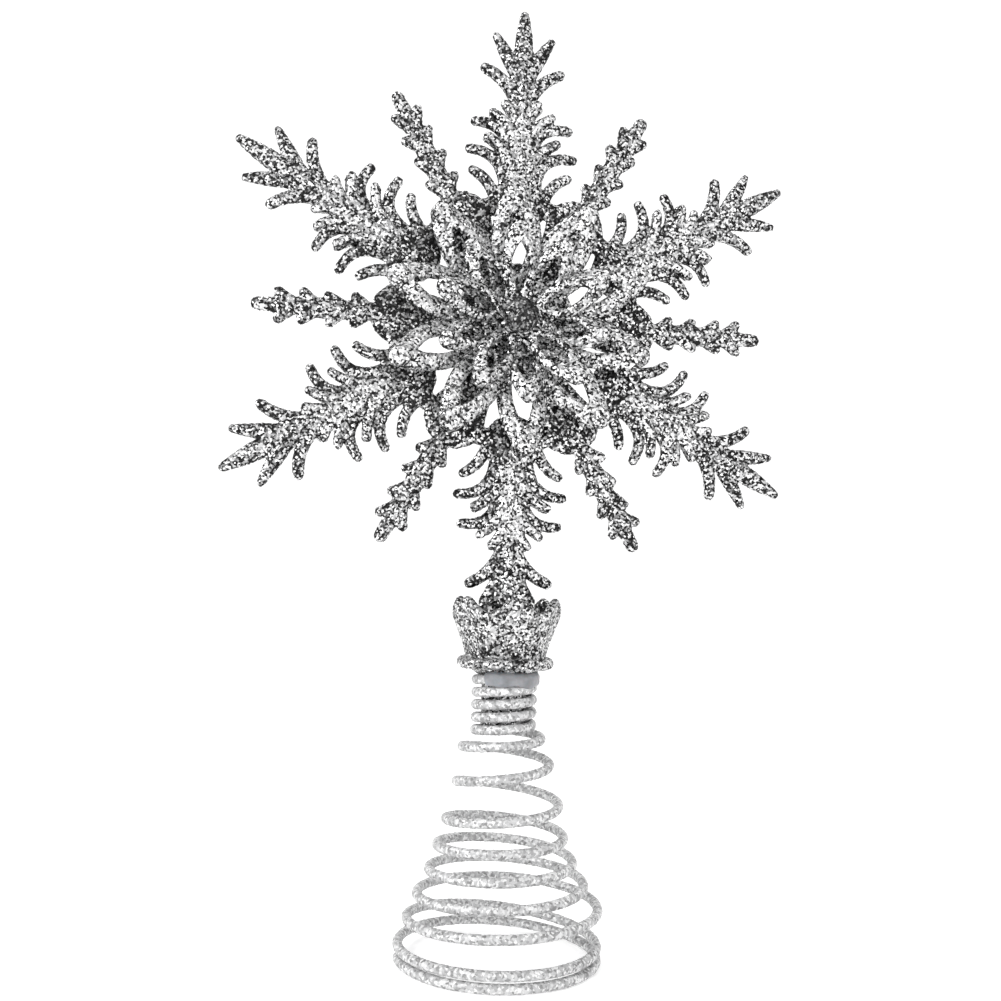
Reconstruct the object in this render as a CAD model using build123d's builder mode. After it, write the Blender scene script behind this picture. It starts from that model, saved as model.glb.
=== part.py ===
"""Glitter snowflake tree topper on a tapering wire spring.

Frame: millimetres, +Z up, -Y is the front. The origin is on the surface that the spring stands on,
below the snowflake's centre. The snowflake lies in the plane Y = 0, above the spring.
"""
import os
from math import cos, hypot, pi, radians, sin, tan

from build123d import *

os.makedirs("parts", exist_ok=True)

# ---- driving dimensions -------------------------------------------------------------------------
FLAKE_Z = 162.0  # height of the snowflake's centre
LONG_REACH = 85.0  # centre to the tip of a long arm
SHORT_REACH = 68.0  # centre to the tip of a short arm
ARMS = 6  # long arms, with as many short ones between them
PLATE = 3.2  # thickness of the snowflake's moulding
RELIEF = 0.9  # how far its ribs stand out, on the front and on the back

WEB_RADIUS = 34.0  # the round web that carries the arms
WINDOW_IN, WINDOW_OUT = 16.0, 30.0  # inner and outer ends of the six windows in the web
WINDOW_HALF = 15.0  # half the angle that a window spans, in degrees
WINDOW_ROUND = 2.5
BARB = 2.7  # width of a feather barb
STUB = 2.8  # width of a short arm's barb
RIB = 1.6  # width of the raised ribs along the barbs

WIRE = 2.5  # diameter of the coated spring wire
CUT_GAP = 0.3  # free space between one length of the wire and the next, so that they can move apart
CORNERS = 4  # corners of the wire's path in each half turn
BEND_SHARE = 0.45  # share of a straight run that the bend at each of its ends takes up

POST_RADIUS = 5.75  # the cup's post, inside the neck of the spring
POST_BOTTOM = 56.4
FUNNEL_Z = 71.0  # where the post widens towards the flange
FUNNEL_RADIUS = 8.6
FLANGE_Z = 72.2  # underside of the cup's flange
FLANGE_RADIUS = 12.3
FLANGE_THICK = 2.8
FLANGE_ROUND = 1.2
CUP_BASE_RADIUS = 10.4
CUP_FLOOR = 77.5
CUP_FLOOR_RADIUS = 9.3
CUP_TOP = 90.2  # tips of the cup's points
CUP_RIM_RADIUS = 14.2
CUP_WALL = 1.5
CUP_POINTS = 6  # one of them at the front
SCOOP_DEPTH = 3.8  # how deep the scoops between the points are
SCOOP_RADIUS = 4.6

GLUE_INNER, GLUE_OUTER = 8.65, 9.25
GLUE_BOTTOM = 67.8
GLUE_START, GLUE_SPAN = -125.0, 165.0  # degrees round the neck, from the left of the front to the back

PIN_RADIUS = 2.0
CLEARANCE = 0.05  # radial clearance of the pin in its holes
BUTTON_RADIUS = 4.5
BUTTON_HEIGHT = 3.0
BUTTON_ROUND = 2.4
RETAINER_RADIUS = 5.5
RETAINER_THICK = 1.6
RETAINER_BEVEL = 0.5
PETALS = 5
LAYER = 1.6  # from one flower layer to the next
PETAL_THICK = 1.3
PETAL_BEND = 0.36  # share of a petal's rise that it has reached half way out
PETAL_ROOT = 0.3  # where a petal's outline starts, as a share of the hub's radius
OPENING_ROOT = 1.25  # where its opening starts
HUB_STEP = 0.5  # how much smaller a hub's front is than its back
BIG_HUB, BIG_PETAL = 10.0, 36.0  # radius of the big layers' hub and of their petals' tips
BIG_WIDTH, BIG_RIM = 17.5, 3.7  # width of a big petal and of the band round its opening
BIG_RISE, BIG_TURN = 5.5, 4.0  # how far it comes forward, and its turn from upright in degrees
SMALL_HUB, SMALL_PETAL = 5.5, 23.5
SMALL_WIDTH, SMALL_RIM = 10.8, 3.0
SMALL_RISE, SMALL_TURN = 7.5, 5.5

# Radius and height of the wire's centre line at each half turn, from the bottom up. The coil is
# right-handed, the even half turns are on the +X side and the odd ones on the -X side.
FIRST_HALF_TURN = -4
COIL = (
    *(3 * [(24.8, WIRE / 2)]), (24.8, 3.9), (24.8, 4.3), (22.8, 10.2), (25.0, 13.3), (20.4, 16.0),
    (21.3, 19.0), (17.6, 22.0), (18.4, 24.4), (15.8, 28.0), (16.0, 30.4), (13.8, 34.4), (14.6, 38.4),
    (11.4, 43.8), (12.0, 48.4), (10.2, 52.4), (9.6, 54.8),
)
NECK_RADIUS = 7.2
NECK_START = 56.6  # height of the first half turn round the neck
NECK_RISE = 1.58  # rise of each half turn round the neck
NECK_HALF_TURNS = 10
COIL += tuple((NECK_RADIUS, NECK_START + NECK_RISE * turn) for turn in range(NECK_HALF_TURNS))

# Where the wire is cut into lengths, in half turns.
RING_START, RING_END = -3.0, 0.25
TURN_A_START, NOD_PLACE, SWAY_PLACE, TURN_C_END = 3.75, 6.0, 8.5, 10.5
NECK_PLACE, WIRE_END = 14.75, 23.25

FRONT = Plane(origin=(0, 0, FLAKE_Z), x_dir=(1, 0, 0), z_dir=(0, -1, 0))  # the snowflake's own plane


def save(builder, name):
    """Labels a finished piece and writes it as parts/NAME.step."""
    builder.part.label = name
    export_step(builder.part, f"parts/{name}.step")


# ---- the spring ----------------------------------------------------------------------------------
def glide(values, place):
    """A smooth value at a place between the listed ones, which never goes past its neighbours."""
    index = min(max(int(place), 1), len(values) - 3)
    steps = [values[i + 1] - values[i] for i in range(index - 1, index + 2)]
    before, here, after = steps
    start = 2 * before * here / (before + here) if before * here > 0 else 0.0
    end = 2 * here * after / (here + after) if here * after > 0 else 0.0
    t = place - index
    value = values[index] + here * (3 * t**2 - 2 * t**3)
    return value + start * (t - 2 * t**2 + t**3) + end * (t**3 - t**2)


def wire_point(half_turns, swell=1.0):
    """The point of the wire's centre line that many half turns up, swell times as far from the axis."""
    place = half_turns - FIRST_HALF_TURN
    radius = swell * glide([station[0] for station in COIL], place)
    height = glide([station[1] for station in COIL], place)
    return Vector(radius * cos(pi * half_turns), radius * sin(pi * half_turns), height)


def corner_radii(points):
    """The largest even bends that the path's runs leave room for."""
    radii = []
    for before, corner, after in zip(points, points[1:], points[2:]):
        arriving, leaving = corner - before, after - corner
        half_bend = radians(arriving.get_angle(leaving)) / 2
        radii.append(BEND_SHARE * min(arriving.length, leaving.length) / tan(half_bend))
    return radii


def wire_length(name, start, end):
    """A length of the spring's wire, whose ends stay clear of the lengths before and after it."""
    gap = CUT_GAP / 2 / (pi * hypot(wire_point(start).X, wire_point(start).Y))
    half_corner = 0.5 / CORNERS
    swell = 1 / cos(pi * half_corner)
    corners = [start + half_corner + step / CORNERS for step in range(round((end - start) * CORNERS))]
    points = [wire_point(start + gap)]
    points += [wire_point(place, swell) for place in corners]
    points.append(wire_point(end - gap))
    with BuildPart() as wire:
        with BuildLine() as path:
            FilletPolyline(*points, radius=corner_radii(points))
        with BuildSketch(Plane(origin=path.line @ 0, z_dir=path.line % 0)):
            Circle(WIRE / 2)
        sweep(path=path.line)
    save(wire, name)


wire_length("spring_base_ring", RING_START, RING_END)
wire_length("spring_lower_turns", RING_END, TURN_A_START)
wire_length("spring_turn_a", TURN_A_START, NOD_PLACE)
wire_length("spring_turn_b", NOD_PLACE, SWAY_PLACE)
wire_length("spring_turn_c", SWAY_PLACE, TURN_C_END)
wire_length("spring_upper_turns", TURN_C_END, NECK_PLACE)
wire_length("spring_neck_turns", NECK_PLACE, WIRE_END)

# ---- the cup that holds the snowflake, with its flange and post ------------------------------------
flange_top = FLANGE_Z + FLANGE_THICK
with BuildPart() as socket_cup:
    with BuildSketch(Plane.XZ):
        with BuildLine():
            Polyline(
                (0, POST_BOTTOM),
                (POST_RADIUS, POST_BOTTOM),
                (POST_RADIUS, FUNNEL_Z),
                (FUNNEL_RADIUS, FLANGE_Z),
                (FLANGE_RADIUS, FLANGE_Z),
                (FLANGE_RADIUS, flange_top),
                (CUP_BASE_RADIUS, flange_top),
                (CUP_RIM_RADIUS, CUP_TOP),
                (CUP_RIM_RADIUS - CUP_WALL, CUP_TOP),
                (CUP_FLOOR_RADIUS, CUP_FLOOR),
                (0, CUP_FLOOR),
                close=True,
            )
        make_face()
    revolve(axis=Axis.Z)
    for number in range(CUP_POINTS):
        outward = Vector(0, -1, 0).rotate(Axis.Z, (number + 0.5) * 360 / CUP_POINTS)
        scoop_centre = Vector(0, 0, CUP_TOP - SCOOP_DEPTH + SCOOP_RADIUS)
        with BuildSketch(Plane(origin=scoop_centre, z_dir=outward)):
            Circle(SCOOP_RADIUS)
        extrude(amount=2 * CUP_RIM_RADIUS, mode=Mode.SUBTRACT)
    for height in (FLANGE_Z, flange_top):
        circles = socket_cup.edges().filter_by(GeomType.CIRCLE).filter_by_position(Axis.Z, height, height)
        fillet(circles.sort_by(SortBy.RADIUS)[-1], FLANGE_ROUND)
save(socket_cup, "socket_cup")

with BuildPart() as glue_band:
    with BuildSketch(Plane.XZ.rotated((0, 0, GLUE_START))):
        with Locations(((GLUE_INNER + GLUE_OUTER) / 2, (GLUE_BOTTOM + FUNNEL_Z) / 2)):
            Rectangle(GLUE_OUTER - GLUE_INNER, FUNNEL_Z - GLUE_BOTTOM)
    revolve(axis=Axis.Z, revolution_arc=GLUE_SPAN)
save(glue_band, "glue_band")


# ---- the snowflake: each arm is drawn along +Y from the centre --------------------------------------
def barb(root, tip, heading, width=BARB):
    """A curved barb of even width with round ends, which leaves its root along heading."""
    with BuildSketch(Plane.XY) as shape:
        with BuildLine():
            TangentArc(root, tip, tangent=heading)
        trace(line_width=width)
        with Locations(root, tip):
            Circle(width / 2)
    return shape.sketch


def finger(root, root_radius, tip, tip_radius):
    """A straight finger that tapers from one round end to the other."""
    with BuildSketch(Plane.XY) as shape:
        with Locations(root):
            Circle(root_radius)
        with Locations(tip):
            Circle(tip_radius)
        make_hull()
    return shape.sketch


def in_pairs(make, rows):
    """A barb or finger for each row of its arguments, and its mirror image across the arm."""
    right = [make(*row) for row in rows]
    return right + [mirror(shape, about=Plane.YZ) for shape in right]


def stem(half):
    """A closed outline, symmetrical about the arm, from the points of its right half."""
    with BuildSketch(Plane.XY) as shape:
        with BuildLine():
            Polyline(*half, *[(-x, y) for x, y in reversed(half)], close=True)
        make_face()
    return shape.sketch


# Each barb's root, its tip and its direction at the root.
LOW_BARBS = (
    ((7.4, 34.0), (12.6, 40.4), (0.20, 1.0)),
    ((5.2, 38.4), (14.0, 45.8), (0.12, 1.0)),
    ((3.6, 46.8), (12.8, 53.4), (0.12, 1.0)),
)
HIGH_BARBS = (
    ((4.2, 42.8), (9.4, 49.0), (0.10, 1.0)),
    ((3.0, 50.6), (7.8, 56.1), (0.12, 1.0)),
    ((2.2, 55.0), (4.4, 58.8), (0.15, 1.0)),
)
HEAD_BARBS = (((2.4, 61.6), (10.2, 68.5), (0.35, 1.0)),)
HEAD_FINGERS = (((1.6, 68.5), 2.0, (7.7, 77.7), 1.0),)
STUBS = (((1.0, 38.6), (3.4, 42.0)), ((1.0, 45.0), (3.4, 48.5)), ((1.0, 51.6), (3.4, 55.2)),
         ((1.0, 57.6), (3.4, 61.2)))
STUB_HEADING = (0.4, 1.0)

# Half outlines of the stems, from the centre outwards.
LONG_STEM = ((8.8, 30.0), (7.6, 34.5), (5.0, 39.5), (4.2, 47.0), (3.2, 54.0), (3.1, 66.0), (2.4, 70.0))
FOOT_FLARE = ((2.8, 60.0), (2.9, 64.0), (4.2, 67.0), (7.6, 73.0), (8.0, FLAKE_Z - CUP_FLOOR))
SHORT_STEM = ((4.2, 30.0), (2.3, 36.0), (2.6, 42.0), (2.4, 62.0))

# Root, root radius, tip and tip radius.
LONG_RIB = ((0, 37.0), 1.7, (0, 66.0), 1.2)
SHORT_RIB = ((0, 38.0), 1.1, (0, 62.0), 0.8)
LANCE = ((0, 70.0), 2.3, (0, 76.5), 2.4)
LANCE_TIP = ((0, 76.5), 2.4, (0, LONG_REACH - 1.1), 1.1)
SHORT_TIP = ((0, 60.0), 2.2, (0, SHORT_REACH - 1.6), 1.6)

feathers = in_pairs(barb, LOW_BARBS + HIGH_BARBS + HEAD_BARBS)
head = [finger(*LANCE), finger(*LANCE_TIP), *in_pairs(finger, HEAD_FINGERS)]
stubs = in_pairs(barb, [(*row, STUB_HEADING, STUB) for row in STUBS])
barb_ribs = in_pairs(barb, [(*row, RIB) for row in HIGH_BARBS])

half_angle = radians(WINDOW_HALF)
window_half = [(end * sin(half_angle), end * cos(half_angle)) for end in (WINDOW_IN, WINDOW_OUT)]
with BuildSketch(Plane.XY) as window:
    add(stem(window_half))
    fillet(window.vertices(), WINDOW_ROUND)

STEP = 360 / ARMS
all_turns = [Rotation(0, 0, number * STEP) for number in range(ARMS)]
long_turns = [turn for number, turn in enumerate(all_turns) if number != ARMS // 2]
short_turns = [Rotation(0, 0, (number + 0.5) * STEP) for number in range(ARMS)]
down = Rotation(0, 0, 180)

with BuildPart() as snowflake_plate:
    with BuildSketch(FRONT.offset(-PLATE / 2)):
        Circle(WEB_RADIUS)
        with Locations(*long_turns):
            add([stem(LONG_STEM), *feathers, *head])
        with Locations(down):
            add([stem(LONG_STEM[:-1]), stem(FOOT_FLARE), *feathers])
        with Locations(*short_turns):
            add([stem(SHORT_STEM), finger(*SHORT_TIP), *stubs])
        with Locations(*all_turns):
            add(window.sketch, mode=Mode.SUBTRACT)
        Circle(PIN_RADIUS + CLEARANCE, mode=Mode.SUBTRACT)
    extrude(amount=PLATE)
    with BuildSketch(FRONT.offset(-PLATE / 2 - RELIEF)):
        with Locations(*all_turns):
            add([finger(*LONG_RIB), *barb_ribs])
        with Locations(*short_turns):
            add(finger(*SHORT_RIB))
    extrude(amount=PLATE + 2 * RELIEF)
save(snowflake_plate, "snowflake_plate")


# ---- the flower: four layers of open petals, held by a pin with a round button ----------------------
def petal_outline(start, end, width):
    """A pointed leaf along +Y, widest a little beyond its middle."""
    widest = start + (end - start) * 0.55
    with BuildSketch(Plane.XY) as leaf:
        with BuildLine() as edge:
            ThreePointArc((0, start), (width / 2, widest), (0, end))
            mirror(edge.line, about=Plane.YZ)
        make_face()
    return leaf.sketch


def petal_layer(name, number, hub, reach, width, rim, rise, turn):
    """Five open petals round a hub, counted from the plate. They rise to the front by rise."""
    back = PLATE / 2 + number * LAYER
    middle = (hub + reach) / 2
    with BuildPart() as layer:
        with BuildSketch(Plane.ZY):
            with BuildLine():
                Polyline(
                    (0, -back),
                    (hub, -back),
                    (middle, -back - rise * PETAL_BEND),
                    (reach, -back - rise),
                    (reach, -back - rise - PETAL_THICK),
                    (middle, -back - rise * PETAL_BEND - PETAL_THICK),
                    (hub, -back - PETAL_THICK),
                    (hub - HUB_STEP, -back - LAYER),
                    (0, -back - LAYER),
                    close=True,
                )
            make_face()
        revolve(axis=Axis.Y)
        with BuildSketch(Plane.XZ):
            Circle(hub)
            for petal in range(PETALS):
                with Locations(Rotation(0, 0, turn + petal * 360 / PETALS)):
                    add(petal_outline(hub * PETAL_ROOT, reach, width))
                    opening = petal_outline(hub * OPENING_ROOT, reach - rim, width - 2 * rim)
                    add(opening, mode=Mode.SUBTRACT)
            Circle(PIN_RADIUS + CLEARANCE, mode=Mode.SUBTRACT)
        extrude(amount=reach, mode=Mode.INTERSECT)
    layer.part = layer.part.moved(Location((0, 0, FLAKE_Z)))
    save(layer, name)


BETWEEN = 180 / PETALS  # turns a layer's petals into the gaps of the one in front
big = (BIG_HUB, BIG_PETAL, BIG_WIDTH, BIG_RIM, BIG_RISE)
small = (SMALL_HUB, SMALL_PETAL, SMALL_WIDTH, SMALL_RIM, SMALL_RISE)
LAYERS = (
    ("flower_outer_lower", big, BIG_TURN + BETWEEN),
    ("flower_outer_upper", big, BIG_TURN),
    ("flower_inner_lower", small, SMALL_TURN + BETWEEN),
    ("flower_inner_upper", small, SMALL_TURN),
)
for number, (name, sizes, turn) in enumerate(LAYERS):
    petal_layer(name, number, *sizes, turn)

flower_front = PLATE / 2 + len(LAYERS) * LAYER
with BuildPart() as button_pin:
    with BuildSketch(FRONT.offset(-PLATE / 2 - RETAINER_THICK)):
        Circle(PIN_RADIUS)
    extrude(amount=flower_front + PLATE / 2 + RETAINER_THICK)
    with BuildSketch(FRONT.offset(flower_front)):
        Circle(BUTTON_RADIUS)
    extrude(amount=BUTTON_HEIGHT)
    fillet(button_pin.faces().sort_by(Axis.Y)[0].edges(), BUTTON_ROUND)
save(button_pin, "button_pin")

with BuildPart() as rear_retainer:
    with BuildSketch(FRONT.offset(-PLATE / 2)):
        Circle(RETAINER_RADIUS)
        Circle(PIN_RADIUS + CLEARANCE, mode=Mode.SUBTRACT)
    extrude(amount=-RETAINER_THICK)
    chamfer(rear_retainer.faces().sort_by(Axis.Y)[-1].outer_wire().edges(), RETAINER_BEVEL)
save(rear_retainer, "rear_retainer")
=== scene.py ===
"""Looks of the glitter snowflake tree topper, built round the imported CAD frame.

Shapes are worked out in millimetres and scaled to metres when an object is made. The snowflake's
pieces are drawn about its own centre: x to the right, y to the back, z up.
"""
import math
import random

import bmesh
import bpy
from mathutils import Matrix, Vector, noise
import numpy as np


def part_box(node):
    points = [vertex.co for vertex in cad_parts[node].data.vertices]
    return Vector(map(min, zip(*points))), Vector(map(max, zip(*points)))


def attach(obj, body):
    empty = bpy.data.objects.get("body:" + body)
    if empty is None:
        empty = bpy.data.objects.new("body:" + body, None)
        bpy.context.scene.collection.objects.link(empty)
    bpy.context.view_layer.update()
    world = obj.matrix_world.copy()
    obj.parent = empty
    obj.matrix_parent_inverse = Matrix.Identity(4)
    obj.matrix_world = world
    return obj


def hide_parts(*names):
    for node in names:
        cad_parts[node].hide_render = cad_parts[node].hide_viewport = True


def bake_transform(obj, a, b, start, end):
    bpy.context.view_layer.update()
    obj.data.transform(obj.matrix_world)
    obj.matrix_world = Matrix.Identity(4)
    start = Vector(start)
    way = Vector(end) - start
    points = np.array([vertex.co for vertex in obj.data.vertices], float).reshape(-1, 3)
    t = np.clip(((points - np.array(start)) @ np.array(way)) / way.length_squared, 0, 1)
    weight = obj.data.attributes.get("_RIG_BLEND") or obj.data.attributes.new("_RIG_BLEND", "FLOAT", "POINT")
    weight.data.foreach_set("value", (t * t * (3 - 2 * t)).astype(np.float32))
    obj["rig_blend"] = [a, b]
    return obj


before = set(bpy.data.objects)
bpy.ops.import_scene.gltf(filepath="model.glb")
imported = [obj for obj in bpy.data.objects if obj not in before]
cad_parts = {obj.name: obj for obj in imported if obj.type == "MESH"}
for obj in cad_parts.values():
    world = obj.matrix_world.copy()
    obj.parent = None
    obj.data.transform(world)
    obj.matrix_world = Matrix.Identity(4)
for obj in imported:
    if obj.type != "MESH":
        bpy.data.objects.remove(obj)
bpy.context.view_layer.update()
random.seed(24)

MM = 0.001
UP = Vector((0, 0, 1))
BACK = Vector((0, 1, 0))


def node_box(node):
    """A CAD node's lowest and highest corners in millimetres."""
    return [Vector(corner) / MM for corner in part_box(node)]


pin_low, pin_high = node_box("rear_retainer")
plate_high = node_box("snowflake_plate")[1]
cup_low, cup_high = node_box("socket_cup")
CENTRE = Vector(((pin_low.x + pin_high.x) / 2, 0, (pin_low.z + pin_high.z) / 2))
REACH = plate_high.z - CENTRE.z

ROUNDING = (80, 55, 28)  # degrees at which the rounded end of a strand has its rings
CIRCLE = [2 * math.pi * i / 72 for i in range(73)]  # a full turn, which ends where it starts
BASE_COAT = 0.1  # thickness of the coat under the glitter chips
COAT_MIDDLE = 0.25  # grain height that lies level with the coat
PAINTED_SHADE_POWER = 2.6  # exponent that leaves few bright chips where the painted shade is full


# ---- shape tools ----------------------------------------------------------------------------------
class Cast:
    """A closed shape gathered from simple solids, which are then melted together."""

    def __init__(self):
        self.mesh = bmesh.new()

    def rings(self, rings):
        """Joins closed rings of points into a skin, and closes both of its ends."""
        loops = [[self.mesh.verts.new(point) for point in ring] for ring in rings]
        for low, high in zip(loops, loops[1:]):
            count = len(low)
            for i in range(count):
                self.mesh.faces.new((low[i], low[(i + 1) % count], high[(i + 1) % count], high[i]))
        self.mesh.faces.new(list(reversed(loops[0])))
        self.mesh.faces.new(loops[-1])

    def strand(self, line, sizes, squareness=2.0, sides=14, lean=0.0, facing=BACK):
        """A strand along line. sizes gives the half width and half depth at each of its points."""
        line = [Vector(point) for point in line]
        first, last = (line[1] - line[0]).normalized(), (line[-1] - line[-2]).normalized()
        stations = []
        for turn in ROUNDING:
            scale, back = math.cos(math.radians(turn)), math.sin(math.radians(turn))
            stations.append((line[0] - first * back * sizes[0][0], first, sizes[0], scale))
        for i, point in enumerate(line):
            along = (line[min(i + 1, len(line) - 1)] - line[max(i - 1, 0)]).normalized()
            stations.append((point, along, sizes[i], 1.0))
        for turn in reversed(ROUNDING):
            scale, ahead = math.cos(math.radians(turn)), math.sin(math.radians(turn))
            stations.append((line[-1] + last * ahead * sizes[-1][0], last, sizes[-1], scale))
        rings = []
        for point, along, (width, depth), scale in stations:
            across = along.cross(facing).normalized()
            across.rotate(Matrix.Rotation(lean, 3, along))
            out = across.cross(along)
            ring = []
            for i in range(sides):
                angle = 2 * math.pi * i / sides
                c, s = math.cos(angle), math.sin(angle)
                power = 2 / squareness
                wide = math.copysign(abs(c) ** power, c) * width * scale
                deep = math.copysign(abs(s) ** power, s) * depth * scale
                ring.append(point + across * wide + out * deep)
            rings.append(ring)
        self.rings(rings)

    def lathe(self, profile, count=72, place=Matrix.Identity(4), height=lambda h, angle: h):
        """Turns a profile of (radius, height) points about Z, from its lower to its upper end."""
        rings = []
        for r, h in profile:
            ring = []
            for i in range(count):
                angle = 2 * math.pi * i / count
                point = (r * math.cos(angle), r * math.sin(angle), height(h, angle))
                ring.append(place @ Vector(point))
            rings.append(ring)
        self.rings(rings)


def grain(point, size):
    """Height of the glitter chip at a point, from 0 between chips to about 1 in the middle of one."""
    return 1.0 - 1.6 * noise.voronoi(point / size)[0][0]


def coat(mesh, size, height):
    """Lays glitter chips on a mesh: each vertex moves out by up to height."""
    offsets = []
    for v in mesh.vertices:
        offsets.append(v.normal * (BASE_COAT + (grain(v.co, size) - COAT_MIDDLE) * height))
    for vertex, offset in zip(mesh.vertices, offsets):
        vertex.co += offset


def add_object(name, data):
    """A new object in the scene."""
    obj = bpy.data.objects.new(name, data)
    bpy.context.collection.objects.link(obj)
    return obj


def unshaded(point, normal):
    """No painted shade anywhere on the piece."""
    return 0.0


def solid(name, cast, voxel, chip, height, centre=Vector(), painted_shade=unshaded):
    """Melts a cast into one skin, stores the painted shade given by its function at each vertex, coats it
    with chips and makes an object of it, in metres.
    """
    rough = bpy.data.meshes.new(name)
    bmesh.ops.recalc_face_normals(cast.mesh, faces=cast.mesh.faces)
    cast.mesh.to_mesh(rough)
    cast.mesh.free()
    holder = add_object(name + "_rough", rough)
    melt = holder.modifiers.new("melt", "REMESH")
    melt.mode = "VOXEL"
    melt.voxel_size = voxel
    soften = holder.modifiers.new("soften", "SMOOTH")
    soften.factor = 0.5
    soften.iterations = 2
    graph = bpy.context.evaluated_depsgraph_get()
    mesh = bpy.data.meshes.new_from_object(holder.evaluated_get(graph))
    bpy.data.objects.remove(holder)
    # Painted shade: the amount of darkening at each vertex, kept as an attribute for the glitter material.
    shade_amounts = [painted_shade(v.co, v.normal) for v in mesh.vertices]
    mesh.attributes.new("painted_shade", "FLOAT", "POINT").data.foreach_set("value", shade_amounts)
    coat(mesh, chip, height)
    mesh.transform(Matrix.Scale(MM, 4) @ Matrix.Translation(centre))
    mesh.shade_smooth()
    mesh.name = name
    return add_object(name, mesh)


def finish_piece(obj, material, slot, body, *nodes):
    """Gives a piece its material, and lets it ride on a body in place of its nodes. The slot is not used."""
    obj.data.materials.clear()
    obj.data.materials.append(material)
    if body:
        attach(obj, body)
    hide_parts(*nodes)
    return obj


# ---- materials ------------------------------------------------------------------------------------
def glitter(name, chip, tones, tilt, metallic=0.75, rough=(0.18, 0.5)):
    """Glitter chips of a size in millimetres. Each chip has its own tone, gloss and small tilt. Painted
    shade: where a mesh carries a painted shade amount, fewer chips are bright.
    """
    material = bpy.data.materials.new(name)
    material.use_nodes = True
    nodes, links = material.node_tree.nodes, material.node_tree.links
    shader = nodes["Principled BSDF"]
    shader.inputs["Metallic"].default_value = metallic
    shader.inputs["Specular IOR Level"].default_value = 0.6
    place = nodes.new("ShaderNodeTexCoord")
    warp = nodes.new("ShaderNodeTexNoise")
    warp.inputs["Scale"].default_value = 1 / (chip * 2.5 * MM)
    links.new(place.outputs["Object"], warp.inputs["Vector"])
    bend = nodes.new("ShaderNodeVectorMath")
    bend.operation = "MULTIPLY_ADD"
    bend.inputs[1].default_value = (chip * 0.7 * MM,) * 3
    links.new(warp.outputs["Color"], bend.inputs[0])
    links.new(place.outputs["Object"], bend.inputs[2])
    cells = nodes.new("ShaderNodeTexVoronoi")
    cells.inputs["Scale"].default_value = 1 / (chip * MM)
    links.new(bend.outputs[0], cells.inputs["Vector"])
    parts = nodes.new("ShaderNodeSeparateColor")
    links.new(cells.outputs["Color"], parts.inputs[0])
    tone = nodes.new("ShaderNodeValToRGB")
    ramp = tone.color_ramp
    ramp.elements[0].position, ramp.elements[0].color = tones[0][0], (*[tones[0][1]] * 3, 1)
    ramp.elements[1].position, ramp.elements[1].color = tones[-1][0], (*[tones[-1][1]] * 3, 1)
    for position, value in tones[1:-1]:
        ramp.elements.new(position).color = (value, value, value * 1.01, 1)
    # Painted shade: the stored amount raises each chip's tone to a higher power, so fewer chips are bright
    # there.
    painted_shade = nodes.new("ShaderNodeAttribute")
    painted_shade.attribute_name = "painted_shade"
    painted_shade_power = nodes.new("ShaderNodeMapRange")
    painted_shade_power.inputs["To Min"].default_value, painted_shade_power.inputs["To Max"].default_value = 1.0, PAINTED_SHADE_POWER
    links.new(painted_shade.outputs["Fac"], painted_shade_power.inputs["Value"])
    pick = nodes.new("ShaderNodeMath")
    pick.operation = "POWER"
    links.new(parts.outputs[0], pick.inputs[0])
    links.new(painted_shade_power.outputs[0], pick.inputs[1])
    links.new(pick.outputs[0], tone.inputs[0])
    links.new(tone.outputs[0], shader.inputs["Base Color"])
    gloss = nodes.new("ShaderNodeMapRange")
    gloss.inputs["To Min"].default_value, gloss.inputs["To Max"].default_value = rough
    links.new(parts.outputs[1], gloss.inputs["Value"])
    links.new(gloss.outputs[0], shader.inputs["Roughness"])
    surface = nodes.new("ShaderNodeNewGeometry")
    shift = nodes.new("ShaderNodeVectorMath")
    shift.operation = "MULTIPLY_ADD"
    shift.inputs[1].default_value = (tilt,) * 3
    links.new(cells.outputs["Color"], shift.inputs[0])
    links.new(surface.outputs["Normal"], shift.inputs[2])
    centred = nodes.new("ShaderNodeVectorMath")
    centred.operation = "SUBTRACT"
    centred.inputs[1].default_value = (tilt / 2,) * 3
    links.new(shift.outputs[0], centred.inputs[0])
    level = nodes.new("ShaderNodeVectorMath")
    level.operation = "NORMALIZE"
    links.new(centred.outputs[0], level.inputs[0])
    links.new(level.outputs[0], shader.inputs["Normal"])
    return material


def smooth_glue(name):
    """Cloudy grey hot glue with faint ripples."""
    material = bpy.data.materials.new(name)
    material.use_nodes = True
    nodes, links = material.node_tree.nodes, material.node_tree.links
    shader = nodes["Principled BSDF"]
    shader.inputs["Roughness"].default_value = 0.32
    shader.inputs["Subsurface Weight"].default_value = 0.2
    shader.inputs["Subsurface Scale"].default_value = 0.001
    place = nodes.new("ShaderNodeTexCoord")
    cloud = nodes.new("ShaderNodeTexNoise")
    cloud.inputs["Scale"].default_value = 420
    cloud.inputs["Detail"].default_value = 4
    links.new(place.outputs["Object"], cloud.inputs["Vector"])
    tone = nodes.new("ShaderNodeValToRGB")
    tone.color_ramp.elements[0].color = (0.1, 0.104, 0.112, 1)
    tone.color_ramp.elements[1].color = (0.36, 0.37, 0.39, 1)
    links.new(cloud.outputs["Fac"], tone.inputs[0])
    links.new(tone.outputs[0], shader.inputs["Base Color"])
    bump = nodes.new("ShaderNodeBump")
    bump.inputs["Distance"].default_value = 0.0002
    bump.inputs["Strength"].default_value = 0.5
    links.new(cloud.outputs["Fac"], bump.inputs["Height"])
    links.new(bump.outputs[0], shader.inputs["Normal"])
    return material


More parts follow.
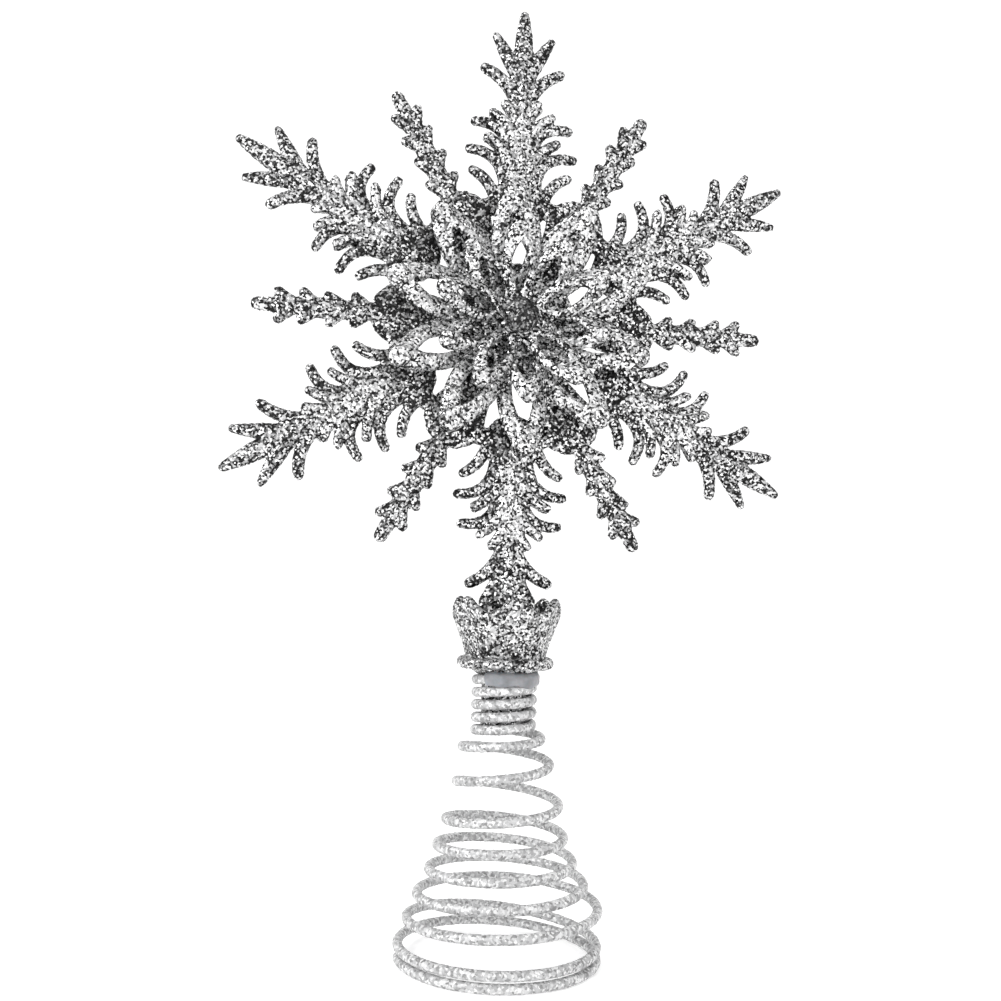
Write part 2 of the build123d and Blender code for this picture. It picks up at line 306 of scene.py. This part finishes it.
PLATE_TONES = ((0.0, 0.0), (0.27, 0.02), (0.4, 0.24), (0.62, 0.62), (0.88, 1.0))
CUP_TONES = ((0.0, 0.0), (0.28, 0.025), (0.42, 0.2), (0.68, 0.52), (1.0, 1.0))
PETAL_TONES = ((0.0, 0.0), (0.22, 0.02), (0.35, 0.26), (0.6, 0.62), (0.88, 1.0))
BUTTON_TONES = ((0.0, 0.0), (0.48, 0.03), (0.75, 0.16), (1.0, 0.65))
WIRE_TONES = ((0.0, 0.2), (0.3, 0.38), (0.6, 0.5), (1.0, 0.78))
plate_glitter = glitter("plate_glitter", 0.5, PLATE_TONES, 0.8)
petal_glitter = glitter("petal_glitter", 0.5, PETAL_TONES, 0.7)
button_glitter = glitter("button_glitter", 0.5, BUTTON_TONES, 0.9)
cup_glitter = glitter("cup_glitter", 0.5, CUP_TONES, 0.8)
wire_glitter = glitter("wire_glitter", 0.6, WIRE_TONES, 0.4, metallic=0.3, rough=(0.4, 0.65))
glue = smooth_glue("glue")


# ---- the snowflake --------------------------------------------------------------------------------
def turned(points, turn, front=0.0):
    """Points of an upright arm, given as (x, y up the arm), once it is turned by turn degrees."""
    c, s = math.cos(math.radians(turn)), math.sin(math.radians(turn))
    return [Vector((x * c - y * s, -front, x * s + y * c)) for x, y in points]


def bent(root, tip, heading, count=8):
    """Points along a curve like an arc from root to tip that leaves its root along heading."""
    span = math.dist(root, tip)
    size = math.hypot(*heading)
    toward = sum(heading[i] * (tip[i] - root[i]) for i in range(2)) / (size * span)
    reach = min(0.78, 0.5 / max(toward, 0.3)) * span
    middle = [root[i] + heading[i] / size * reach for i in range(2)]
    points = []
    for step in range(count + 1):
        t = step / count
        point = []
        for i in range(2):
            point.append((1 - t) ** 2 * root[i] + 2 * t * (1 - t) * middle[i] + t * t * tip[i])
        points.append(point)
    return points


def barb(cast, turn, root, tip, heading, width, depth, front=0.0):
    """A pair of curved barbs, one on each side of an arm, each a little different."""
    for side in (-1, 1):
        wobble = random.uniform(-0.35, 0.35)
        end = (tip[0] + wobble, tip[1] - wobble)
        line = [(side * x, y) for x, y in bent(root, end, heading)]
        count = len(line)
        sizes = []
        for i in range(count):
            swell = 1.0 + 0.12 * math.sin(math.pi * i / (count - 1)) - 0.12 * i / (count - 1)
            sizes.append((width * swell, depth * swell))
        cast.strand(turned(line, turn, front), sizes, 2.2)


def taper(cast, turn, stations, front=0.0, squareness=2.0):
    """A strand straight up an arm. Each station is its place, its half width and its half depth."""
    line = [(0.0, place) for place, *_ in stations]
    sizes = [(wide, deep) for _, wide, deep in stations]
    cast.strand(turned(line, turn, front), sizes, squareness, sides=20)


LOW_BARBS = (
    ((6.6, 32.5), (12.6, 40.2), (0.20, 1.0)),
    ((4.4, 37.4), (13.9, 45.6), (0.10, 1.0)),
    ((3.0, 45.4), (12.7, 53.2), (0.10, 1.0)),
)
HIGH_BARBS = (
    ((1.6, 38.6), (9.4, 49.0), (0.16, 1.0)),
    ((1.3, 46.6), (7.8, 56.0), (0.14, 1.0)),
    ((1.0, 51.8), (4.5, 58.8), (0.14, 1.0)),
)
LONG_STEM = (
    (32.0, 7.6, 1.5), (35.0, 6.6, 1.7), (39.5, 4.8, 1.9), (47.0, 4.1, 1.9), (54.0, 3.2, 1.8),
    (60.0, 3.1, 1.7), (66.0, 3.3, 1.6), (70.5, 2.5, 1.5),
)
LANCE = (
    (68.0, 2.0, 1.4), (71.5, 2.4, 1.5), (75.0, 2.5, 1.5), (78.5, 2.15, 1.4), (81.5, 1.6, 1.2),
    (REACH - 1.2, 1.15, 0.9),
)
FOOT_STEM = (
    (32.0, 7.6, 1.5), (35.0, 6.6, 1.7), (39.5, 4.8, 1.9), (47.0, 4.1, 1.9), (54.0, 3.2, 1.8),
    (61.0, 2.9, 1.6), (64.0, 3.0, 1.5), (67.0, 4.3, 1.5), (72.5, 7.3, 1.5), (CENTRE.z - 80.0, 7.7, 1.4),
)
SHORT_STEM = (
    (30.0, 4.6, 1.4), (33.0, 3.1, 1.5), (36.0, 2.2, 1.5), (41.0, 2.5, 1.5), (48.0, 2.6, 1.5),
    (56.0, 2.5, 1.4), (60.5, 2.1, 1.3), (64.0, 1.8, 1.2), (66.2, 1.7, 1.1),
)
STUBS = ((38.6, 41.9), (45.0, 48.4), (51.6, 55.2), (57.6, 61.2))  # places of their roots and tips


def long_arm(cast, turn, stem, head):
    """A long feathered arm, with barbs low at its edges and raised ones on both faces."""
    taper(cast, turn, stem, squareness=2.4)
    for root, tip, heading in LOW_BARBS:
        barb(cast, turn, root, tip, heading, 1.4, 1.3)
    for root, tip, heading in HIGH_BARBS:
        barb(cast, turn, root, tip, heading, 1.25, 1.15, front=1.2)
        barb(cast, turn, root, tip, heading, 1.15, 1.0, front=-0.7)
    barb(cast, turn, (1.6, 59.0), (10.1, 68.3), (0.3, 1.0), 1.55, 1.35, front=0.2)
    taper(cast, turn, ((37.0, 0.9, 1.1), (50.0, 0.8, 1.0), (64.0, 0.8, 0.9)), front=1.6)
    if head:
        for side in (-1, 1):
            line = [(side * x, y) for x, y in bent((1.2, 65.5), (7.6, 77.4), (0.4, 1.0))]
            sizes = []
            for i in range(len(line)):
                t = i / (len(line) - 1)
                sizes.append((1.4 - 0.4 * t + 0.75 * math.sin(math.pi * t), 1.4 - 0.4 * t))
            cast.strand(turned(line, turn, 0.1), sizes, 2.0)
        taper(cast, turn, LANCE, front=0.4)


def short_arm(cast, turn):
    """A short arm: a broad stem with four pairs of thick stubs."""
    taper(cast, turn, SHORT_STEM)
    taper(cast, turn, ((37.0, 0.8, 0.9), (50.0, 0.7, 0.8), (61.0, 0.6, 0.7)), front=1.2)
    for root, tip in STUBS:
        barb(cast, turn, (1.0, root), (3.4, tip), (0.4, 1.0), 1.45, 1.3, front=0.3)


def web(cast):
    """The round web: a solid middle, six spokes and an outer ring, with six windows between them."""
    disc = ((0.1, -1.5), (13.0, -1.5), (15.4, -1.0), (16.0, 0.0), (15.4, 1.0), (13.0, 1.5), (0.1, 1.5))
    cast.lathe(disc, 48, Matrix.Rotation(math.pi / 2, 4, "X"))
    for number in range(6):
        spoke = ((12.0, 3.4, 1.5), (18.0, 4.4, 1.5), (25.0, 6.4, 1.5), (30.0, 8.2, 1.5))
        taper(cast, 30 + 60 * number, spoke, squareness=3.5)
    radius = 31.6
    ring = [(radius * math.cos(angle), 0, radius * math.sin(angle)) for angle in CIRCLE]
    cast.strand(ring, [(2.3, 1.5)] * len(ring), 3.0)


def plate_painted_shade(point, normal):
    """Painted shade by how deep in the moulding a place is: its side walls, its low faces and the web are
    painted darkest.
    """
    wall = 0.45 * (1 - abs(normal.y))
    low = 0.4 * max(0.0, min(1.0, (2.1 - abs(point.y)) / 0.7))
    middle = 0.5 * max(0.0, min(1.0, (37.0 - math.hypot(point.x, point.z)) / 4.0))
    return min(1.0, wall + low + middle)


def snowflake():
    cast = Cast()
    web(cast)
    for number in range(6):
        if number == 3:
            long_arm(cast, 180, FOOT_STEM, head=False)
        else:
            long_arm(cast, 60 * number, LONG_STEM, head=True)
        short_arm(cast, 30 + 60 * number)
    obj = solid("snowflake_moulding", cast, 0.42, 0.6, 0.2, CENTRE, plate_painted_shade)
    return finish_piece(obj, plate_glitter, "glitter_plastic", "topper", "snowflake_plate")


# ---- the flower -----------------------------------------------------------------------------------
def petal_painted_shade(point, normal):
    """Painted shade: the walls of a petal's band and the crowded middle of the flower are painted darker."""
    wall = 0.65 * min(1.0, 1.15 * (1 - abs(normal.y)))
    middle = 0.7 * max(0.0, 1 - math.hypot(point.x, point.z) / 17.0)
    return min(1.0, wall + middle)


OUTER_PETALS = dict(hub=10.0, tip=35.8, half_width=4.4, band=2.25, apex=3.0, rise=4.5, lean=0.35)
INNER_PETALS = dict(hub=5.5, tip=23.2, half_width=3.3, band=1.4, apex=2.5, rise=6.0, lean=0.5)


def petal_layer(name, node, turn, hub, tip, half_width, band, apex, rise, lean):
    """Five open petals round a hub. Each is a loop of a band that widens to apex at its tip."""
    back = -node_box(node)[1].y
    cast = Cast()
    disc = ((0.1, 0.1), (hub - 0.8, 0.1), (hub, 0.5), (hub, 1.1), (hub - 0.8, 1.5), (0.1, 1.5))
    cast.lathe(disc, 40, Matrix.Translation((0, -back, 0)) @ Matrix.Rotation(math.pi / 2, 4, "X"))
    start, end, steps = hub * 0.7, tip - apex, 18
    for number in range(5):
        for side in (-1, 1):
            line, sizes = [], []
            for i in range(steps + 1):
                t = i / steps
                along = start + (end - start) * (0.08 + 0.92 * t)
                out = half_width * math.sin(math.pi * t**0.92) ** 0.85 if 0 < t < 1 else 0.0
                up = max(0.0, (along - hub) / (end - hub))
                point = turned([(side * (out + 0.25), along)], turn + 72 * number)[0]
                point.y = -(back + 0.8 + rise * up**1.25 + 0.5 * math.sin(math.pi * t))
                line.append(point)
                sizes.append((band * 0.9 + (apex - band * 0.9) * t**4, 0.8))
            cast.strand(line, sizes, 2.8, lean=side * lean)
    obj = solid(name, cast, 0.38, 0.6, 0.16, CENTRE, petal_painted_shade)
    return finish_piece(obj, petal_glitter, "glitter_petal", "topper", node)


def button():
    """The round button in the middle, with its pin through the layers."""
    low, high = node_box("button_pin")
    size = (high.x - low.x) / 2
    head = 3.0
    profile = [(0.1, low.y), (size * 0.5, low.y + 0.25), (size * 0.82, low.y + 0.9), (size, low.y + 1.9)]
    profile += [(size, low.y + head), (1.9, low.y + head), (1.9, high.y), (0.1, high.y)]
    cast = Cast()
    cast.lathe([(r, -h) for r, h in profile], 40, Matrix.Rotation(math.pi / 2, 4, "X"))
    obj = solid("flower_button", cast, 0.4, 0.8, 0.22, CENTRE)
    return finish_piece(obj, button_glitter, "glitter_button", "topper", "button_pin")


def retainer():
    """The round retainer pressed on the pin, behind the snowflake."""
    low, high = node_box("rear_retainer")
    size = (high.x - low.x) / 2
    profile = (
        (0.1, low.y), (size, low.y), (size, low.y + 0.9), (size - 0.7, high.y), (2.6, high.y),
        (2.3, high.y - 0.3), (0.1, high.y - 0.3),
    )
    cast = Cast()
    cast.lathe([(r, -h) for r, h in reversed(profile)], 40, Matrix.Rotation(math.pi / 2, 4, "X"))
    # The retainer is given the plate's painted shade.
    obj = solid("pin_retainer", cast, 0.35, 0.6, 0.15, CENTRE, plate_painted_shade)
    return finish_piece(obj, plate_glitter, "glitter_plastic", "topper", "rear_retainer")


# ---- the cup and the glue -------------------------------------------------------------------------
def cup():
    """The cup, a crown of six blunt points, with its flange, funnel and post."""
    bottom, top = cup_low.z, cup_high.z
    flange, floor, dip = 72.2, 77.5, 3.8
    cast = Cast()
    post = (
        (0.1, bottom), (5.1, bottom), (5.7, bottom + 0.6), (5.7, flange - 2.2), (8.6, flange - 0.4),
        (9.2, flange + 2.0), (0.1, flange + 2.0),
    )
    cast.lathe(post, 48)
    ring = []
    for angle in CIRCLE:
        wave = 0.12 * math.sin(3 * angle + 0.6)
        radius = 10.9 + wave
        ring.append((radius * math.cos(angle), radius * math.sin(angle), flange + 1.4 + wave))
    cast.strand(ring, [(1.4, 1.3)] * len(ring), 2.2, facing=UP)
    collar = (
        (0.1, flange + 0.4), (9.6, flange + 0.4), (10.2, flange + 2.6), (10.0, floor), (0.1, floor),
    )
    cast.lathe(collar, 72)

    def rim_height(h, angle):
        share = max(0.0, (h - floor) / (top - floor))
        return h - dip * share * abs(math.sin(3 * (angle + math.pi / 2))) ** 1.5

    outside = (
        (10.0, 74.6), (10.7, floor), (12.0, 82.0), (13.1, 86.0), (13.9, top - 1.4), (13.8, top - 0.5),
        (13.3, top),
    )
    inside = (
        (12.4, top), (11.8, top - 0.6), (10.9, 86.0), (10.0, 82.0), (9.2, floor - 0.3),
        (0.1, floor - 0.4),
    )
    cast.lathe(((0.1, 74.6), *outside, *inside), 144, height=rim_height)

    # Painted shade: the inside walls of the crown above its floor, and a band round its foot, are painted
    # darker.
    def painted_shade(point, normal):
        outward = Vector((point.x, point.y, 0)).normalized()
        inner = 0.8 * max(0.0, -normal.dot(outward)) if point.z > floor else 0.0
        foot = 0.55 * max(0.0, 1 - abs(point.z - 76.4) / 2.2)
        return min(1.0, inner + foot)

    obj = solid("pointed_cup", cast, 0.38, 0.6, 0.2, painted_shade=painted_shade)
    return finish_piece(obj, cup_glitter, "glitter_plastic", "topper", "socket_cup")


def glue_bead():
    """The bead of glue over the top turn of the wire."""
    low, high = node_box("glue_band")
    cast = Cast()
    line, sizes = [], []
    for i in range(41):
        t = i / 40
        angle = math.radians(-130 + 172 * t)
        sag = 0.2 * math.sin(9 * t) + 0.12 * math.sin(23 * t + 1)
        line.append((7.7 * math.cos(angle), 7.7 * math.sin(angle), (low.z + high.z) / 2 + 0.3 + sag))
        sizes.append((1.25 + 0.1 * math.sin(14 * t), 1.85 + 0.15 * math.sin(17 * t)))
    cast.strand(line, sizes, 2.6, facing=UP)
    obj = solid("glue_bead", cast, 0.3, 1.7, 0.22)
    return finish_piece(obj, glue, "glue", "topper", "glue_band")


# ---- the spring -----------------------------------------------------------------------------------
WIRE = 2.5
WIRE_SIDES = 18
WIRE_STEP = 0.42  # distance between rings of vertices along the wire
WIRE_CHIP = 0.62  # size of a glitter chip on the wire
WIRE_GRAIN = 0.12  # how far the chips stand out
WIRE_GRAIN_MIDDLE = 0.45  # grain height that lies level with the wire's skin
WIRE_CAP = 0.5  # how far the wire's free ends bulge
NUDGE = 0.01  # half turns between the points that give the wire's direction
NECK_RADIUS = 7.2
NECK_START = 56.6
NECK_RISE = 1.58  # per half turn
NECK_HALF_TURNS = 10

# Radius and height of the wire's centre line at each half turn, from FIRST_HALF_TURN up.
FIRST_HALF_TURN = -4
COIL = (
    *(3 * [(24.8, WIRE / 2)]), (24.8, 3.9), (24.8, 4.3), (22.8, 10.2), (25.0, 13.3), (20.4, 16.0),
    (21.3, 19.0), (17.6, 22.0), (18.4, 24.4), (15.8, 28.0), (16.0, 30.4), (13.8, 34.4), (14.6, 38.4),
    (11.4, 43.8), (12.0, 48.4), (10.2, 52.4), (9.6, 54.8),
    *[(NECK_RADIUS, NECK_START + NECK_RISE * turn) for turn in range(NECK_HALF_TURNS)],
)


def glide(values, place):
    """A smooth value at a place between the listed ones, which never goes past its neighbours."""
    index = min(max(int(place), 1), len(values) - 3)
    before, here, after = [values[i + 1] - values[i] for i in range(index - 1, index + 2)]
    start = 2 * before * here / (before + here) if before * here > 0 else 0.0
    end = 2 * here * after / (here + after) if here * after > 0 else 0.0
    t = place - index
    value = values[index] + here * (3 * t**2 - 2 * t**3)
    return value + start * (t - 2 * t**2 + t**3) + end * (t**3 - t**2)


def wire_point(half_turns):
    """The point of the wire's centre line that many half turns up from the bottom ring."""
    place = half_turns - FIRST_HALF_TURN
    radius = glide([r for r, _ in COIL], place)
    height = glide([h for _, h in COIL], place)
    angle = math.pi * half_turns
    return Vector((radius * math.cos(angle), radius * math.sin(angle), height))


def wire_heading(half_turns):
    """The direction in which the wire runs there."""
    return (wire_point(half_turns + NUDGE) - wire_point(half_turns - NUDGE)).normalized()


def wire_piece(name, start, end, bodies, nodes, free_start=False, free_end=False, pressed=False):
    """A length of coated wire between bodies. A pressed one shares out their motion by height."""
    start_height, end_height = wire_point(start).z, wire_point(end).z
    places, spot = [start], start
    while spot < end:
        spot = min(end, spot + WIRE_STEP / (math.pi * wire_point(spot).xy.length))
        places.append(spot)
    mesh = bmesh.new()
    shares, loops = [], []
    for place in places:
        here = wire_point(place)
        along = wire_heading(place)
        out = Vector((here.x, here.y, 0)).normalized()
        out = (out - along * out.dot(along)).normalized()
        over = along.cross(out)
        if pressed:
            share = (here.z - start_height) / (end_height - start_height)
        else:
            part = (place - start) / (end - start)
            share = part * part * (3 - 2 * part)
        ring = []
        for i in range(WIRE_SIDES):
            angle = 2 * math.pi * i / WIRE_SIDES
            ray = out * math.cos(angle) + over * math.sin(angle)
            skin = here + ray * (WIRE / 2)
            lift = grain(skin, WIRE_CHIP) - WIRE_GRAIN_MIDDLE
            ring.append(mesh.verts.new(skin + ray * lift * WIRE_GRAIN))
            shares.append(share)
        loops.append(ring)
    for low, high in zip(loops, loops[1:]):
        for i in range(WIRE_SIDES):
            after = (i + 1) % WIRE_SIDES
            mesh.faces.new((low[i], low[after], high[after], high[i]))
    for ring, place, outward in ((loops[0], start, -1), (loops[-1], end, 1)):
        middle = wire_point(place)
        if (free_start and outward < 0) or (free_end and outward > 0):
            middle = middle + wire_heading(place) * outward * WIRE_CAP
        tip = mesh.verts.new(middle)
        shares.append(0.0 if outward < 0 else 1.0)
        for i in range(WIRE_SIDES):
            corners = (ring[i], ring[(i + 1) % WIRE_SIDES], tip)
            mesh.faces.new(corners if outward > 0 else corners[::-1])
    bmesh.ops.recalc_face_normals(mesh, faces=mesh.faces)
    data = bpy.data.meshes.new(name)
    mesh.to_mesh(data)
    mesh.free()
    data.transform(Matrix.Scale(MM, 4))
    data.shade_smooth()
    obj = add_object(name, data)
    if len(bodies) == 1:
        return finish_piece(obj, wire_glitter, "glitter_wire", bodies[0], *nodes)
    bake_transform(obj, *bodies, start=(0, 0, wire_point(start).z * MM), end=(0, 0, wire_point(end).z * MM))
    data.attributes["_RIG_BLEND"].data.foreach_set("value", shares)
    return finish_piece(obj, wire_glitter, "glitter_wire", None, *nodes)


def spring():
    """The wire in six lengths, which meet where the model's bodies do."""
    wire_piece("wire_base_ring", -3.0, 0.25, ("root",), ("spring_base_ring",), free_start=True)
    wire_piece("wire_lower_turns", 0.25, 4.0, ("root", "coil_a"), ("spring_lower_turns",), pressed=True)
    wire_piece("wire_nod_turns", 4.0, 7.0, ("coil_a", "coil_b"), ("spring_turn_a",))
    wire_piece("wire_sway_turns", 7.0, 10.0, ("coil_b", "coil_c"), ("spring_turn_b", "spring_turn_c"))
    upper = ("coil_c", "topper")
    wire_piece("wire_upper_turns", 10.0, 14.75, upper, ("spring_upper_turns",), pressed=True)
    wire_piece("wire_neck_turns", 14.75, 23.25, ("topper",), ("spring_neck_turns",), free_end=True)


# ---- the studio -----------------------------------------------------------------------------------
LENS = 39.56
CAMERA_ANGLES = (10.38, 4.83, 1.78)  # yaw, pitch and roll in degrees
CAMERA_PLACE = (-53.57, -278.78, -70.9)  # from the snowflake's centre
LIGHTS = (  # name, place and diameter in metres, and power in watts
    ("key", (-0.9, -0.8, 0.9), 0.7, 13),
    ("fill", (0.9, -1.0, 0.4), 0.9, 1.5),
    ("top", (0.1, 0.2, 1.3), 0.8, 4),
)
FLOOR_RADIUS = 1.8  # in metres, where the backdrop begins to curve up


def camera():
    """The camera of the product shot: a little to the left of the front, and just below the flower."""
    data = bpy.data.cameras.new("camera")
    data.sensor_width = 36.0
    data.lens = LENS
    obj = add_object("camera", data)
    yaw, pitch, roll = (math.radians(angle) for angle in CAMERA_ANGLES)
    ahead = Vector((math.sin(yaw) * math.cos(pitch), math.cos(yaw) * math.cos(pitch), math.sin(pitch)))
    level = ahead.cross(UP).normalized()
    upright = level.cross(ahead)
    right = level * math.cos(roll) + upright * math.sin(roll)
    top = upright * math.cos(roll) - level * math.sin(roll)
    turn = Matrix((right, top, -ahead)).transposed().to_4x4()
    obj.matrix_world = Matrix.Translation((CENTRE + Vector(CAMERA_PLACE)) * MM) @ turn
    bpy.context.scene.camera = obj


def area_light(name, place, size, power, target):
    """A round soft light that faces target."""
    data = bpy.data.lights.new(name, "AREA")
    data.shape = "DISK"
    data.size = size
    data.energy = power
    obj = add_object(name, data)
    obj.location = place
    obj.rotation_euler = (Vector(target) - Vector(place)).to_track_quat("-Z", "Y").to_euler()


def studio():
    """A pale round floor that curves up into a backdrop on every side, and soft lights inside it."""
    mesh = bmesh.new()
    profile = [(0.05, 0.0), (0.8, 0.0), (FLOOR_RADIUS, 0.0)]
    for degrees in range(10, 91, 10):
        rise = math.radians(degrees)
        profile.append((FLOOR_RADIUS + math.sin(rise), 1 - math.cos(rise)))
    profile.append((2.8, 2.2))
    turns = [2 * math.pi * i / 96 for i in range(96)]
    rows = [[mesh.verts.new((r * math.cos(a), r * math.sin(a), z)) for a in turns] for r, z in profile]
    mesh.faces.new(rows[0])
    for low, high in zip(rows, rows[1:]):
        for i in range(len(turns)):
            mesh.faces.new((low[i - 1], low[i], high[i], high[i - 1]))
    bmesh.ops.recalc_face_normals(mesh, faces=mesh.faces)
    data = bpy.data.meshes.new("backdrop")
    mesh.to_mesh(data)
    mesh.free()
    data.shade_smooth()
    material = bpy.data.materials.new("backdrop_paper")
    material.use_nodes = True
    shader = material.node_tree.nodes["Principled BSDF"]
    shader.inputs["Base Color"].default_value = (0.7, 0.7, 0.7, 1)
    shader.inputs["Roughness"].default_value = 0.9
    shader.inputs["Emission Color"].default_value = (1, 1, 1, 1)
    shader.inputs["Emission Strength"].default_value = 0.45
    data.materials.append(material)
    obj = add_object("backdrop", data)
    world = bpy.data.worlds.new("studio")
    world.use_nodes = True
    sky = world.node_tree.nodes["Background"]
    sky.inputs["Color"].default_value = (1, 1, 1, 1)
    sky.inputs["Strength"].default_value = 0.6
    bpy.context.scene.world = world
    bpy.context.scene.view_settings.view_transform = "Standard"
    middle = tuple(CENTRE * MM)
    for name, place, size, power in LIGHTS:
        area_light(name, place, size, power, middle)


snowflake()
petal_layer("petals_outer_lower", "flower_outer_lower", 40.0, **OUTER_PETALS)
petal_layer("petals_outer_upper", "flower_outer_upper", 4.0, **OUTER_PETALS)
petal_layer("petals_inner_lower", "flower_inner_lower", 41.5, **INNER_PETALS)
petal_layer("petals_inner_upper", "flower_inner_upper", 5.5, **INNER_PETALS)
button()
retainer()
cup()
glue_bead()
spring()
camera()
studio()
